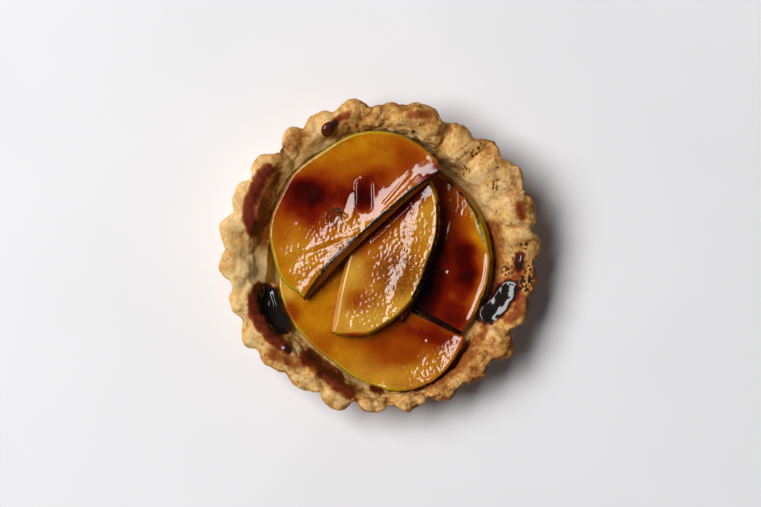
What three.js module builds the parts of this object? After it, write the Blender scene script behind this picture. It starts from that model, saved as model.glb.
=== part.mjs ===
// A baked persimmon tart, lying flat: a fluted shortcrust shell with overlapping half slices of persimmon.
// Millimetres, +Z up. +X is right and +Y is away, as the tart is seen from above. The base rests on z = 0.
import * as THREE from 'three';

// ---------------------------------------------------------------- driving dimensions

const degree = Math.PI / 180;

const shell = {
  floor: 5, // thickness of the pastry under the fruit
  baseShare: 0.89, // the flared wall's reach at the base, as a share of its reach at the rim
  baseChamfer: 1.4,
  steps: 234, // vertices round the shell, 9 to a flute
  floorRing: 30,
  roughness: 1.0, // how far the crumb of the rim stands in and out
  crumbSize: 4,
};

// One row a flute, anticlockwise from the right: angle of its crest, reach of the crest,
// and reach of the dip after it.
const flutes = [
  [4.5, 56.8, 53.6], [18, 57.0, 54.0], [33, 57.5, 54.2], [46, 56.8, 54.0], [58.5, 55.7, 51.8],
  [73.5, 56.8, 53.6], [87.5, 55.4, 53.3], [102, 56.8, 53.6], [115.5, 57.2, 53.6], [126.5, 56.8, 50.1],
  [141.5, 56.9, 54.5], [155.5, 58.0, 55.0], [169.5, 58.4, 55.2], [183, 58.4, 52.9], [197, 56.8, 54.0],
  [211, 57.9, 54.0], [221.5, 56.4, 53.1], [237.5, 55.4, 52.2], [252, 56.6, 50.6], [265.5, 55.7, 51.5],
  [281, 55.0, 50.6], [295, 55.9, 52.2], [309.5, 55.4, 51.8], [323.5, 56.8, 51.5], [337.5, 55.9, 53.3],
  [351.5, 55.9, 53.6],
];

// The rim where its form changes: angle, height, reach of its crown, reach of its inner edge,
// height of that edge, and reach of the wall's foot on the floor.
const rim = [
  [0, 17.5, 52.0, 47.7, 13.1, 41.3], // narrow, beside the right pool of syrup
  [4, 18.8, 51.0, 45.8, 14.4, 41.1], // a thick roll where the wall slumped inwards
  [11, 20.2, 49.8, 43.4, 15.2, 41.0],
  [20, 20.6, 48.6, 41.8, 15.4, 40.9],
  [31, 21.0, 47.8, 40.9, 15.6, 40.4],
  [42, 21.0, 48.4, 41.8, 15.6, 40.0],
  [47.5, 18.2, 49.5, 43.0, 14.0, 39.8], // the step at the end of the roll
  [60, 18.2, 49.5, 42.6, 13.8, 39.6],
  [67, 20.5, 50.0, 44.6, 15.6, 40.8], // a tall crag
  [82, 20.8, 50.6, 45.8, 15.8, 42.6],
  [98, 19.0, 52.0, 46.8, 15.2, 42.6],
  [112, 18.4, 53.0, 47.2, 14.6, 41.8], // a smooth slope
  [131, 17.4, 52.8, 46.6, 14.2, 41.2],
  [150, 18.0, 54.0, 46.4, 15.2, 40.8], // broad level lobes with a slope inside
  [183, 18.0, 54.0, 46.2, 15.0, 40.4],
  [195, 17.3, 52.8, 46.4, 14.2, 41.0],
  [204, 17.2, 52.4, 47.5, 13.3, 44.0], // hollow, where the left pool of syrup lies
  [212, 17.2, 52.2, 47.2, 13.4, 43.4],
  [220, 17.2, 52.0, 46.0, 13.4, 41.8], // lumpy, with syrup on the inner side
  [228, 17.2, 51.5, 45.4, 13.2, 41.8],
  [246, 17.2, 51.5, 46.4, 13.2, 43.6],
  [266, 17.2, 52.4, 49.2, 13.4, 47.5], // separate knobs
  [288, 16.8, 52.4, 49.8, 13.2, 48.7],
  [302, 17.0, 51.8, 48.2, 13.2, 47.2],
  [312, 17.6, 51.6, 46.6, 13.6, 44.8],
  [322, 18.2, 51.2, 45.5, 14.0, 41.3],
  [335, 17.4, 52.0, 47.8, 13.2, 41.6],
  [346, 17.2, 52.2, 48.5, 12.8, 41.7], // hollow, where the right pool lies
];

// Lumps and dents of the rim: angle, reach, height, size, rise (negative is a dent).
const lumps = [
  [24, 50, 19, 5.0, 0.9], [40, 51, 20, 4.0, 1.0], [44.5, 45, 17, 3.0, 1.3], [12, 52, 18, 3.5, -0.8],
  [34, 55, 18, 3.0, 1.0], [36, 46, 19, 3.0, -0.7], [70, 46, 15, 2.6, 1.2], [66.5, 49, 19, 2.8, 1.2],
  [77, 52, 20, 3.6, 1.4], [74, 47.5, 18, 1.8, -1.4], [83, 49, 19, 2.6, 0.9], [92, 53, 18, 2.4, 0.9],
  [101, 54, 18, 3.0, 0.9], [96.5, 51, 18, 1.8, -1.0], [122, 52, 16, 3.2, -0.8], [142, 54, 17, 4.2, 0.9],
  [156, 55, 17, 4.2, 0.8], [170, 55, 17, 4.5, 0.8], [184, 55, 17, 4.0, 0.7], [176, 46, 10, 3.0, -0.7],
  [198, 54, 16, 3.0, 0.8], [212, 54, 16, 3.2, 0.9], [222, 53, 16, 2.8, 0.8], [229, 50, 15, 2.2, -0.9],
  [237, 52, 16, 2.8, 1.0], [252, 53, 16, 3.0, 1.0], [265.5, 53.5, 15, 2.6, 1.2], [280, 51.5, 15.5, 3.6, 1.2],
  [303, 50, 15, 2.2, 1.1], [310, 51.5, 15.5, 3.2, 1.3], [323, 51.5, 16, 4.4, 1.4], [293, 52, 15.5, 3.6, 1.2],
  [337, 53.5, 15, 3.0, 0.9], [351, 53.5, 15, 2.4, 0.8], [344, 52, 15, 1.8, -0.9], [53, 46, 16, 4.0, 0.8],
  [28, 54.5, 19, 2.4, 1.1], [22, 46, 19, 2.4, -0.8], [8, 47, 17, 2.6, 1.0], [64.5, 47, 16, 2.2, 1.1],
  [88, 52.5, 20, 2.2, -1.0], [104, 50, 18, 2.2, 0.8], [135, 49, 15, 2.6, 0.8], [148, 47.5, 15.5, 2.4, -0.7],
  [162, 47.5, 15.5, 2.6, 0.7], [178, 49, 16, 2.4, -0.6], [190, 47.5, 15, 2.2, 0.8], [205, 52, 17, 2.2, -0.7],
  [218, 47.5, 15, 2.4, 0.8], [240, 48.5, 15, 2.0, 1.0], [256, 50, 15.5, 2.0, 0.9], [309, 49, 15, 2.0, 1.0],
  [318.5, 47.5, 15, 1.8, 1.0], [328, 49, 15, 2.2, 0.9], [358, 49.5, 16, 1.8, 0.8], [333, 47, 13, 2.4, 0.8],
  [74.7, 50, 19, 6.0, 1.1], [56, 47.7, 17, 5.4, 1.3], [40, 49, 20, 5.4, 0.9], [32.5, 55.5, 18, 2.6, 1.5],
  [21.5, 48.8, 19.5, 6.4, 0.7], [6, 48.5, 18, 4.0, 0.8],
];

// Cracks across the rim: angle and reach of each end, width, depth.
const cracks = [
  [62, 41.5, 64, 53.5, 1.5, 4.2],
  [131.5, 46.5, 133, 52, 1.5, 2.6],
  [46, 41.5, 47.4, 50, 1.5, 2.6],
  [47.4, 50, 43, 56, 1.4, 2.0],
  [27, 43, 27.5, 54, 1.8, 1.5],
  [14, 44.5, 9.5, 53, 1.6, 1.4],
  [260, 47, 260, 51, 1.6, 2.4],
  [287.5, 48, 288, 51.5, 1.6, 2.4],
  [317, 46, 317, 52, 1.6, 2.2],
  [330, 46, 330, 52, 1.5, 2.0],
  [301, 47, 301.5, 52, 1.4, 1.8],
  [272.5, 48, 273, 52, 1.4, 1.8],
];

// Thick syrup set on the crust: angle and reach of each end, width, rise.
const drips = [
  [108.5, 50.8, 114, 50.4, 3.4, 1.2],
  [142.5, 50.6, 155.5, 50.5, 5.2, 0.6],
  [155.5, 50.5, 167, 49.3, 4.6, 0.6],
  [195, 46.2, 202, 49.0, 3.4, 0.7],
  [202, 49.0, 212, 48.6, 3.6, 0.7],
  [212, 48.6, 223, 47.0, 3.0, 0.7],
  [233, 45.4, 249, 46.0, 3.0, 0.6],
  [357, 48.0, 359, 48.8, 3.2, 0.9],
];

const slices = {
  gap: 0.3, // air between pieces that rest on each other
  points: 46, // vertices round one slice
  rounding: 0.4, // how far the upper edge is rounded off
};

// The fruit lies in layers: the heights of the undersides follow from the thicknesses below them.
const restOnFloor = shell.floor + slices.gap;
const fruitThickness = 4.1;
const secondLayer = restOnFloor + fruitThickness + slices.gap;

// ---------------------------------------------------------------- shared shaping functions

const mix = (a, b, share) => a + (b - a) * share;
const smooth = (share) => share * share * (3 - 2 * share);
const polar = (angle, reach) => [reach * Math.cos(angle * degree), reach * Math.sin(angle * degree)];

// A repeatable value from -1 to 1 for each corner of a lattice.
function cornerValue(i, j, k) {
  const wave = Math.sin(i * 127.1 + j * 311.7 + k * 74.7 + 11.3) * 43758.5453;
  return (wave - Math.floor(wave)) * 2 - 1;
}

// Smooth noise that passes through those values.
function noise(x, y, z) {
  const [i, j, k] = [x, y, z].map(Math.floor);
  const [u, v, w] = [x - i, y - j, z - k].map(smooth);
  const edge = (b, c) => mix(cornerValue(i, b, c), cornerValue(i + 1, b, c), u);
  return mix(mix(edge(j, k), edge(j + 1, k), v), mix(edge(j, k + 1), edge(j + 1, k + 1), v), w);
}

// The distance in plan from a point to the line between two polar ends.
function distanceToLine(x, y, [angleA, reachA, angleB, reachB]) {
  const [ax, ay] = polar(angleA, reachA);
  const [bx, by] = polar(angleB, reachB);
  const along = ((x - ax) * (bx - ax) + (y - ay) * (by - ay)) / ((bx - ax) ** 2 + (by - ay) ** 2);
  const held = Math.min(1, Math.max(0, along));
  return Math.hypot(x - mix(ax, bx, held), y - mix(ay, by, held));
}

// A closed solid through rings of equal count, from a point under the middle to one on top.
// Each ring runs anticlockwise; they go out along the base, up the side and in over the top.
function solidThroughRings(rings, bottom, top) {
  const count = rings[0].length;
  const positions = [bottom, ...rings.flat(), top].flatMap((point) => [point.x, point.y, point.z]);
  const at = (ring, step) => 1 + ring * count + (step % count);
  const last = rings.length - 1;
  const faces = [];
  for (let step = 0; step < count; step++) {
    faces.push(0, at(0, step + 1), at(0, step));
    for (let ring = 0; ring < last; ring++) {
      faces.push(at(ring, step), at(ring, step + 1), at(ring + 1, step + 1));
      faces.push(at(ring, step), at(ring + 1, step + 1), at(ring + 1, step));
    }
    faces.push(at(last, step), at(last, step + 1), 1 + rings.length * count);
  }
  const geometry = new THREE.BufferGeometry();
  geometry.setAttribute('position', new THREE.Float32BufferAttribute(positions, 3));
  geometry.setIndex(faces);
  geometry.computeVertexNormals();
  return geometry;
}

// ---------------------------------------------------------------- pastry shell

// The outline's reach at an angle: round crests with a narrower dip between them.
function fluteReach(angle) {
  let index = flutes.length - 1;
  while (index > 0 && flutes[index][0] > angle) index--;
  const here = flutes[angle < flutes[0][0] ? flutes.length - 1 : index];
  const next = flutes[(flutes.indexOf(here) + 1) % flutes.length];
  const span = (next[0] - here[0] + 360) % 360;
  const share = ((angle - here[0] + 360) % 360) / span;
  const towardsDip = 1 - Math.abs(2 * share - 1);
  const crest = share < 0.5 ? here[1] : next[1];
  return mix(here[2], crest, Math.cos(towardsDip * Math.PI / 2) ** 0.75);
}

// The rim's sizes at an angle, eased between the rows on either side.
function rimAt(angle) {
  let index = rim.length - 1;
  while (rim[index][0] > angle) index--;
  const here = rim[index];
  const next = rim[(index + 1) % rim.length];
  const span = (next[0] - here[0] + 360) % 360;
  const share = smooth((angle - here[0]) / span);
  const sizes = here.slice(1).map((value, i) => mix(value, next[i + 1], share));
  const [height, crown, innerEdge, edgeHeight, foot] = sizes;
  return { height, crown, innerEdge, edgeHeight, foot };
}

// The section of the shell at an angle, from the base's edge, up the wall and down to the floor:
// reach, height, and how rough the pastry is there.
function shellSection(angle) {
  const { height, crown, innerEdge, edgeHeight, foot } = rimAt(angle);
  const outer = fluteReach(angle);
  const base = outer * shell.baseShare;
  const bite = (outer - base) * 0.9;
  const shoulder = mix(outer, crown, 0.45);
  return [
    [base - shell.baseChamfer, 0, 0],
    [base, shell.baseChamfer, 0],
    [base + bite * 0.36, height * 0.28, 0.15],
    [base + bite * 0.66, height * 0.5, 0.3],
    [base + bite * 0.9, height * 0.68, 0.5],
    [outer, height * 0.83, 0.8],
    [outer - 0.7, height * 0.93, 1],
    [shoulder, height * 0.985, 1],
    [crown, height, 1],
    [mix(crown, innerEdge, 0.4), mix(height, edgeHeight, 0.16), 1],
    [mix(crown, innerEdge, 0.78), mix(height, edgeHeight, 0.5), 1],
    [innerEdge, edgeHeight, 0.9],
    [mix(innerEdge, foot, 0.38), mix(edgeHeight, shell.floor, 0.26), 0.8],
    [mix(innerEdge, foot, 0.72), mix(edgeHeight, shell.floor, 0.54), 0.55],
    [mix(innerEdge, foot, 0.95), mix(edgeHeight, shell.floor, 0.82), 0.25],
    [foot - 1.2, shell.floor, 0],
    [shell.floorRing, shell.floor, 0],
  ];
}

// How deep the nearest crack is at a place in plan.
function crackDepth(x, y) {
  const depths = cracks.map(([angleA, reachA, angleB, reachB, wide, deep]) => (
    deep * Math.exp(-((distanceToLine(x, y, [angleA, reachA, angleB, reachB]) / wide) ** 2))
  ));
  return Math.max(...depths);
}

// How far the pastry stands out of its section at a point: crumb, lumps and set syrup.
function shellRelief(x, y, z, rough) {
  const size = shell.crumbSize;
  let relief = shell.roughness * rough * noise(x / size, y / size, z / size);
  relief += 0.4 * shell.roughness * rough * noise(x / size * 2 + 7, y / size * 2, z / size * 2);
  for (const [angle, reach, height, wide, rise] of lumps) {
    const [cx, cy] = polar(angle, reach);
    const squared = (x - cx) ** 2 + (y - cy) ** 2 + (z - height) ** 2;
    relief += rough * rise * Math.exp(-squared / wide ** 2);
  }
  for (const [angleA, reachA, angleB, reachB, wide, rise] of drips) {
    const away = distanceToLine(x, y, [angleA, reachA, angleB, reachB]) / (wide / 2 + 0.6);
    if (away < 1 && z > shell.floor) relief += rise * Math.sqrt(1 - away * away);
  }
  return relief;
}

function makeShell() {
  const sections = [];
  for (let step = 0; step < shell.steps; step++) {
    const angle = step * 360 / shell.steps;
    const section = shellSection(angle);
    sections.push(section.map(([reach, height, rough], i) => {
      if (rough === 0) return new THREE.Vector3(...polar(angle, reach), height);
      const [reachBefore, heightBefore] = section[i - 1];
      const [reachAfter, heightAfter] = section[i + 1];
      const out = new THREE.Vector2(heightAfter - heightBefore, reachBefore - reachAfter).normalize();
      const relief = shellRelief(...polar(angle, reach), height, rough);
      const sunk = rough * Math.max(0, out.y) * crackDepth(...polar(angle, reach));
      const lift = Math.max(shell.floor + 0.05, height + out.y * relief - sunk);
      return new THREE.Vector3(...polar(angle, reach + out.x * relief), lift);
    }));
  }
  const rings = sections[0].map((_, i) => sections.map((section) => section[i]));
  return solidThroughRings(rings, new THREE.Vector3(0, 0, 0), new THREE.Vector3(0, 0, shell.floor));
}

// ---------------------------------------------------------------- fruit

// A curve of `count` points from the first of the given points up to, but not with, the last.
function curveThrough(points, count) {
  const curve = new THREE.SplineCurve(points.map(([x, y]) => new THREE.Vector2(x, y)));
  return curve.getSpacedPoints(count).slice(0, count);
}

// A slice from its plan. `cut` is the knife's edge and `skin` the rind's, both anticlockwise and
// sharing their ends. `flare` is how far the lower edge of each stands out past the upper one,
// `lie` the height of the underside, `thickness` the height of the middle, and `swell` what the
// upper side has beyond that.
function makeSlice({ cut, skin, flare, lie, thickness, swell = () => 0 }) {
  const lengthOf = (points) => (
    new THREE.SplineCurve(points.map((point) => new THREE.Vector2(...point))).getLength()
  );
  const cutCount = Math.round(slices.points * lengthOf(cut) / (lengthOf(cut) + lengthOf(skin)));
  const outline = [...curveThrough(cut, cutCount), ...curveThrough(skin, slices.points - cutCount)];
  const middle = new THREE.Vector2();
  for (const point of outline) middle.addScaledVector(point, 1 / outline.length);
  const inwards = outline.map((_, i) => {
    const before = outline[(i + outline.length - 1) % outline.length];
    const after = outline[(i + 1) % outline.length];
    return new THREE.Vector2(before.y - after.y, after.x - before.x).normalize();
  });
  const skinCount = slices.points - cutCount;
  const flareAt = (i) => (i < cutCount ? flare.cut(i / cutCount) : flare.skin((i - cutCount) / skinCount));
  const raised = ({ x, y }, height) => (
    new THREE.Vector3(x, y, lie(x, y) + height + swell(x, y) * height / thickness)
  );
  const moved = (inset) => outline.map((point, i) => point.clone().addScaledVector(inwards[i], inset(i)));
  const ring = (points, share, height) => (
    points.map((point) => raised(middle.clone().lerp(point, share), height))
  );
  const upper = moved((i) => flareAt(i) + slices.rounding);
  return solidThroughRings([
    ring(outline, 0.4, 0),
    ring(outline, 0.75, 0),
    ring(moved(() => 0.3), 1, 0),
    ring(outline, 1, thickness * 0.22),
    ring(moved((i) => flareAt(i) * 0.75), 1, thickness * 0.7),
    ring(moved(flareAt), 1, thickness - slices.rounding),
    ...[1, 0.84, 0.64, 0.42, 0.2].map((share) => ring(upper, share, thickness)),
  ], raised(middle, 0), raised(middle, thickness));
}

// The top slice's cut edge, as a share along it and the distance from it.
const topCut = {
  from: [-27.7, -15.4],
  to: [21, 30.4],
  bend: 15.5, // the strip beside it that curls up
  curl: 0.0165,
  curlFrom: { low: 0.2, full: 0.42 }, // the share of the curl at the lower end, and where it is whole
  curlEnd: { from: 0.75, less: 0.35 }, // where it eases off again, and by how much
  slope: 0.05, // the fall beyond that strip
  lowest: 0.65, // above the second layer
  climb: 6.9, // from its lower end to its upper one
  climbEase: 1.6,
};

function placeAlongTopCut(x, y) {
  const [dx, dy] = [topCut.to[0] - topCut.from[0], topCut.to[1] - topCut.from[1]];
  const length = Math.hypot(dx, dy);
  const along = ((x - topCut.from[0]) * dx + (y - topCut.from[1]) * dy) / length ** 2;
  const away = ((y - topCut.from[1]) * dx - (x - topCut.from[0]) * dy) / length;
  return { along: Math.min(1, Math.max(0, along)), away };
}

// How far the top slice's upper side curls up towards its cut edge. The underside follows half of it.
function topCurl(x, y) {
  const { along, away } = placeAlongTopCut(x, y);
  const { curlFrom, curlEnd } = topCut;
  const begun = mix(curlFrom.low, 1, smooth(Math.min(1, along / curlFrom.full)));
  const ended = curlEnd.less * smooth(Math.max(0, (along - curlEnd.from) / (1 - curlEnd.from)));
  return topCut.curl * (begun - ended) * Math.min(topCut.bend, Math.max(0, topCut.bend - away)) ** 2;
}

// Lies on the slices at the left, climbs over the middle slice, and falls a little to the wall beyond.
function topLie(x, y) {
  const { along, away } = placeAlongTopCut(x, y);
  const climb = topCut.climb * (1 - (1 - along) ** topCut.climbEase);
  const fall = topCut.slope * Math.max(0, away - topCut.bend);
  return secondLayer + topCut.lowest + climb - fall + topCurl(x, y) / 2;
}

const topSlice = {
  cut: [topCut.from, [-20.8, -7.9], [-14.2, -0.9], [-2.3, 10.3], [9, 20.5], topCut.to],
  skin: [
    topCut.to, [19.4, 34.6], [15.5, 38.6], [11, 41.6], [5.3, 44.2], [-4.1, 45.2], [-12.6, 43.3],
    [-20.8, 38.4], [-31.2, 30.8], [-36.2, 22.4], [-39.5, 15.1], [-40.5, 7.8], [-39.1, 0.4],
    [-37.3, -5.7], [-34.2, -10], [-29.8, -12.8], topCut.from,
  ],
  flare: { cut: (share) => mix(1.4, 0.9, share) + 0.9 * Math.sin(Math.PI * share), skin: () => 0.5 },
  lie: topLie,
  thickness: fruitThickness,
  swell: (x, y) => topCurl(x, y) / 2,
};

// The middle slice leans on what lies under its right side, and curls up there.
const middleLean = { lowest: 0.4, from: -15, slope: 0.05, bend: -6, curl: 0.005, fall: 0.02 };

function middleLie(x, y) {
  const lean = middleLean.slope * (x - middleLean.from) - middleLean.fall * y;
  return secondLayer + middleLean.lowest + lean + middleLean.curl * Math.max(0, x - middleLean.bend) ** 2;
}

const middleSlice = {
  cut: [[10.5, 34.5], [-1, 23], [-10.5, 11], [-12.7, 0.8], [-15.5, -11], [-18.3, -26.9]],
  skin: [
    [-18.3, -26.9], [-12.6, -28.5], [-6.1, -28.1], [0.4, -24.8], [6.9, -19.9], [12.2, -13.4],
    [16.7, -1.2], [19.4, 6.1], [20.4, 14.3], [19.8, 22.4], [16.5, 29], [10.5, 34.5],
  ],
  flare: { cut: () => 1.1, skin: () => 0.9 },
  lie: middleLie,
  thickness: fruitThickness,
};

// All but its charred edge and one tip is hidden under the middle slice, which it holds up.
const sliverThickness = 1.3;
const sliverRise = 0.1; // it clears the edges that curl up under it
const sliverSlice = {
  cut: [[20.2, 15.5], [13, 9], [7.5, -2], [5.6, -12], [6.4, -23.7]],
  skin: [[6.4, -23.7], [11, -17.6], [14.6, -10.6], [17.9, -1.2], [20.2, 6.1], [21, 12], [20.2, 15.5]],
  flare: { cut: () => 0.3, skin: () => 0.3 },
  lie: () => secondLayer + sliverRise,
  thickness: sliverThickness,
  swell: (x, y) => Math.max(0, middleLie(x, y) - slices.gap - secondLayer - sliverRise - sliverThickness),
};

const rightCircle = { x: 3.2, y: -0.7, radius: 36.4, from: -46, to: 157 };

function rightSkin() {
  const points = [];
  for (let i = 0; i <= 12; i++) {
    const [x, y] = polar(mix(rightCircle.from, rightCircle.to, i / 12), rightCircle.radius);
    points.push([rightCircle.x + x, rightCircle.y + y]);
  }
  return points;
}

// Both slices on the floor curl up where they lean on the shell's wall.
const rightLift = { from: 16, rate: 0.0035 };

const rightSlice = {
  cut: [rightSkin().at(-1), [-9.5, 4.5], [0.5, -9.0], [11.4, -17.1], rightSkin()[0]],
  skin: rightSkin(),
  flare: { cut: () => 0.5, skin: (share) => mix(0.6, 1.7, smooth(Math.min(1, share * 3))) },
  lie: (x) => restOnFloor + rightLift.rate * Math.max(0, x - rightLift.from) ** 2,
  thickness: fruitThickness,
};

const bottomLift = { outwards: { from: -25, rate: 0.004 }, right: { from: 5, rate: 0.0035 } };

function bottomLie(x, y) {
  const { outwards, right } = bottomLift;
  const outwardsLift = outwards.rate * Math.max(0, outwards.from - y) ** 2;
  const rightEdgeLift = right.rate * Math.max(0, x - right.from) ** 2;
  return restOnFloor + outwardsLift + rightEdgeLift;
}

const bottomSlice = {
  cut: [[29.3, -28.3], [11, -19.1], [-2.5, -11], [-13, 2], [-34.2, 9]],
  skin: [
    [-34.2, 9], [-36.9, 3], [-37.5, -7], [-36.6, -14.2], [-32.2, -24], [-28.1, -28.9], [-23.2, -33.6],
    [-17.9, -37.4], [-12.6, -41.7], [-5.3, -45.4], [2.9, -47.4], [11, -47], [18.3, -44],
    [22.8, -40.2], [27.3, -33.8], [29.2, -30.2], [29.3, -28.3],
  ],
  flare: { cut: () => 0.5, skin: () => 0.6 },
  lie: bottomLie,
  thickness: fruitThickness,
};

// ---------------------------------------------------------------- materials and assembly

const bakedPastry = new THREE.MeshStandardMaterial({ color: 0xc8945a, roughness: 0.85, metalness: 0 });
const glazedFruit = new THREE.MeshStandardMaterial({ color: 0xc9780f, roughness: 0.25, metalness: 0 });

function named(name, geometry, material) {
  const mesh = new THREE.Mesh(geometry, material);
  mesh.name = name;
  return mesh;
}

const tart = new THREE.Group();
tart.add(
  named('tart_crust', makeShell(), bakedPastry),
  named('persimmon_slice_bottom', makeSlice(bottomSlice), glazedFruit),
  named('persimmon_slice_right', makeSlice(rightSlice), glazedFruit),
  named('persimmon_slice_sliver', makeSlice(sliverSlice), glazedFruit),
  named('persimmon_slice_middle', makeSlice(middleSlice), glazedFruit),
  named('persimmon_slice_top', makeSlice(topSlice), glazedFruit),
);

// The origin is the middle of the footprint, which the uneven flutes put beside the shell's centre.
const bounds = new THREE.Box3().setFromObject(tart);
tart.position.set(-(bounds.min.x + bounds.max.x) / 2, -(bounds.min.y + bounds.max.y) / 2, 0);

export default tart;
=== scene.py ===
import math

import bmesh
import bpy
import numpy as np
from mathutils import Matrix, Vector, kdtree, noise


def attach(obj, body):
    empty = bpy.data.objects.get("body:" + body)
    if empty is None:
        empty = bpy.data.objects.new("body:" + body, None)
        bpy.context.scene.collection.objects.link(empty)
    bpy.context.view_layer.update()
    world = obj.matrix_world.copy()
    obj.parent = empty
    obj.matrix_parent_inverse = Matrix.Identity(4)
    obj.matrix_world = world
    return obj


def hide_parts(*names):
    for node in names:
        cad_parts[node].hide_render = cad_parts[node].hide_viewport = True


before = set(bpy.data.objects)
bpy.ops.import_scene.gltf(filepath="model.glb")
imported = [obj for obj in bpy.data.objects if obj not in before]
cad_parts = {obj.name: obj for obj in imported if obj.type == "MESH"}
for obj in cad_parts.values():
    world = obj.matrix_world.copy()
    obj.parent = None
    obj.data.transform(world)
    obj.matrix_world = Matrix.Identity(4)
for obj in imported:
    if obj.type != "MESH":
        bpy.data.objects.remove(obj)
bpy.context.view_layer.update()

mm = 0.001
tartMiddle = np.array([0.929, -0.562])  # where the shell's own centre lies from the origin, in mm
collection = bpy.context.scene.collection


# small helpers

def hexColour(code):
    channels = [int(code[i:i + 2], 16) / 255 for i in (1, 3, 5)]
    linear = [c / 12.92 if c <= 0.04045 else ((c + 0.055) / 1.055) ** 2.4 for c in channels]
    return (*linear, 1.0)


def addNode(tree, kind, inputs=None, **settings):
    made = tree.nodes.new("ShaderNode" + kind)
    for name, value in settings.items():
        setattr(made, name, value)
    for socket, value in (inputs or {}).items():
        if isinstance(value, bpy.types.NodeSocket):
            tree.links.new(value, made.inputs[socket])
        else:
            made.inputs[socket].default_value = value
    return made


def newMaterial(name):
    material = bpy.data.materials.new(name)
    material.use_nodes = True
    tree = material.node_tree
    tree.nodes.clear()
    return material, tree


def blendColours(tree, share, first, second):
    first, second = (hexColour(c) if isinstance(c, str) else c for c in (first, second))
    mixer = addNode(tree, "Mix", {0: share, 6: first, 7: second}, data_type="RGBA")
    return mixer.outputs[2]


def readMark(tree, name):
    return addNode(tree, "Attribute", attribute_name=name).outputs["Fac"]


def grain(tree, place, size, detail=2.0, rough=0.5):
    made = addNode(tree, "TexNoise", {"Vector": place, "Scale": 1 / (size * mm), "Detail": detail,
                                      "Roughness": rough})
    return made.outputs["Fac"]


def spread(tree, value, low, high, toLow=0.0, toHigh=1.0):
    made = addNode(tree, "MapRange", {0: value, 1: low, 2: high, 3: toLow, 4: toHigh}, clamp=True)
    return made.outputs[0]


def maths(tree, operation, first, second, clamp=True):
    made = addNode(tree, "Math", {0: first, 1: second}, operation=operation, use_clamp=clamp)
    return made.outputs[0]


def ease(values, low, high):
    share = np.clip((values - low) / (high - low), 0, 1)
    return share * share * (3 - 2 * share)


def perlin(places, size, seed=0):
    moved = places / size + seed * 19.7  # each seed reads the noise somewhere else
    return np.array([noise.noise(p) for p in moved.tolist()])


def offsetFromPath(plan, path):
    # the vector to each place from the nearest point of the path
    path = np.array(path, float)
    best = np.full((len(plan), 2), 1e4)  # farther than any path
    for start, end in zip(path[:-1], path[1:]):
        step = end - start
        share = np.clip(((plan - start) @ step) / max(step @ step, 1e-9), 0, 1)
        offset = plan - start - share[:, None] * step
        nearer = (offset ** 2).sum(1) < (best ** 2).sum(1)
        best[nearer] = offset[nearer]
    return best


def distanceToPath(plan, path):
    return np.linalg.norm(offsetFromPath(plan, path), axis=1)


def blob(plan, x, y, wide, tall=None, turn=0.0):
    # 0 in the middle of a turned ellipse and 1 on its outline
    tall = tall or wide
    across = plan - np.array([x, y])
    c, s = math.cos(math.radians(turn)), math.sin(math.radians(turn))
    u = across[:, 0] * c + across[:, 1] * s
    v = -across[:, 0] * s + across[:, 1] * c
    return np.hypot(u / wide, v / tall)


# meshes from the model's solids

def mergedCopy(nodeName, name):
    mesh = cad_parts[nodeName].data.copy()
    work = bmesh.new()
    work.from_mesh(mesh)
    bmesh.ops.remove_doubles(work, verts=work.verts, dist=0.002 * mm)
    work.to_mesh(mesh)
    work.free()
    mesh.materials.clear()
    piece = bpy.data.objects.new(name, mesh)
    collection.objects.link(piece)
    return piece


def applyModifiers(piece):
    bpy.context.view_layer.update()
    graph = bpy.context.evaluated_depsgraph_get()
    made = bpy.data.meshes.new_from_object(piece.evaluated_get(graph), depsgraph=graph)
    old = piece.data
    piece.modifiers.clear()
    piece.data = made
    made.name = piece.name
    bpy.data.meshes.remove(old)


def refine(piece, voxel, softening):
    remesh = piece.modifiers.new("fineSkin", "REMESH")
    remesh.mode = "VOXEL"
    remesh.voxel_size = voxel * mm
    smooth = piece.modifiers.new("softened", "SMOOTH")
    smooth.factor = 0.5
    smooth.iterations = softening
    applyModifiers(piece)


def readMesh(piece):
    count = len(piece.data.vertices)
    places = np.zeros(count * 3)
    normals = np.zeros(count * 3)
    piece.data.vertices.foreach_get("co", places)
    piece.data.vertices.foreach_get("normal", normals)
    places = places.reshape(-1, 3) / mm
    places[:, :2] -= tartMiddle
    return places, normals.reshape(-1, 3)


def writeMesh(piece, places, marks):
    places = places.copy()
    places[:, :2] += tartMiddle
    piece.data.vertices.foreach_set("co", (places * mm).ravel())
    for name, values in marks.items():
        mark = piece.data.attributes.new(name, "FLOAT", "POINT")
        mark.data.foreach_set("value", np.clip(values, 0, 1).astype(np.float32))
    piece.data.shade_smooth()
    piece.data.update()


def finishPiece(piece, material, slotName, *nodes):
    piece.data.materials.clear()
    piece.data.materials.append(material)
    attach(piece, "root")
    if nodes:
        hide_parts(*nodes)


# materials

def syrupAndShadeOver(tree, under, depth, tones):
    # a clear film darkens through its tones as it gets deeper, and the painted shade carried in the same mark
    # darkens the same way
    steps = ((0.0, 0.3), (0.28, 0.55), (0.5, 0.78), (0.76, 1.0))
    colour = under
    for tone, (low, high) in zip(tones, steps):
        colour = blendColours(tree, spread(tree, depth, low, high), colour, tone)
    return colour


pastryFinish = {
    "patchSize": 6.0,  # mm, of the clouds of browning
    "crumbSize": 1.6,
    "sandSize": 0.55,
    "pale": ("#DDB676", "#EDD09A"),
    "golden": ("#B97E38", "#D3A45E"),
    "toasted": ("#71380F", "#96551F"),
    "syrup": ("#99561F", "#7E2C11", "#480F05", "#120605"),  # from a thin film to a deep one; the deep tones also paint shade beside the fruit
    "char": "#1B1411",
    "roughness": 0.75,
    "wetRoughness": 0.1,
    "lightSinks": (1.5, 0.7, 0.3),  # mm, for red, green and blue
}


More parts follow.
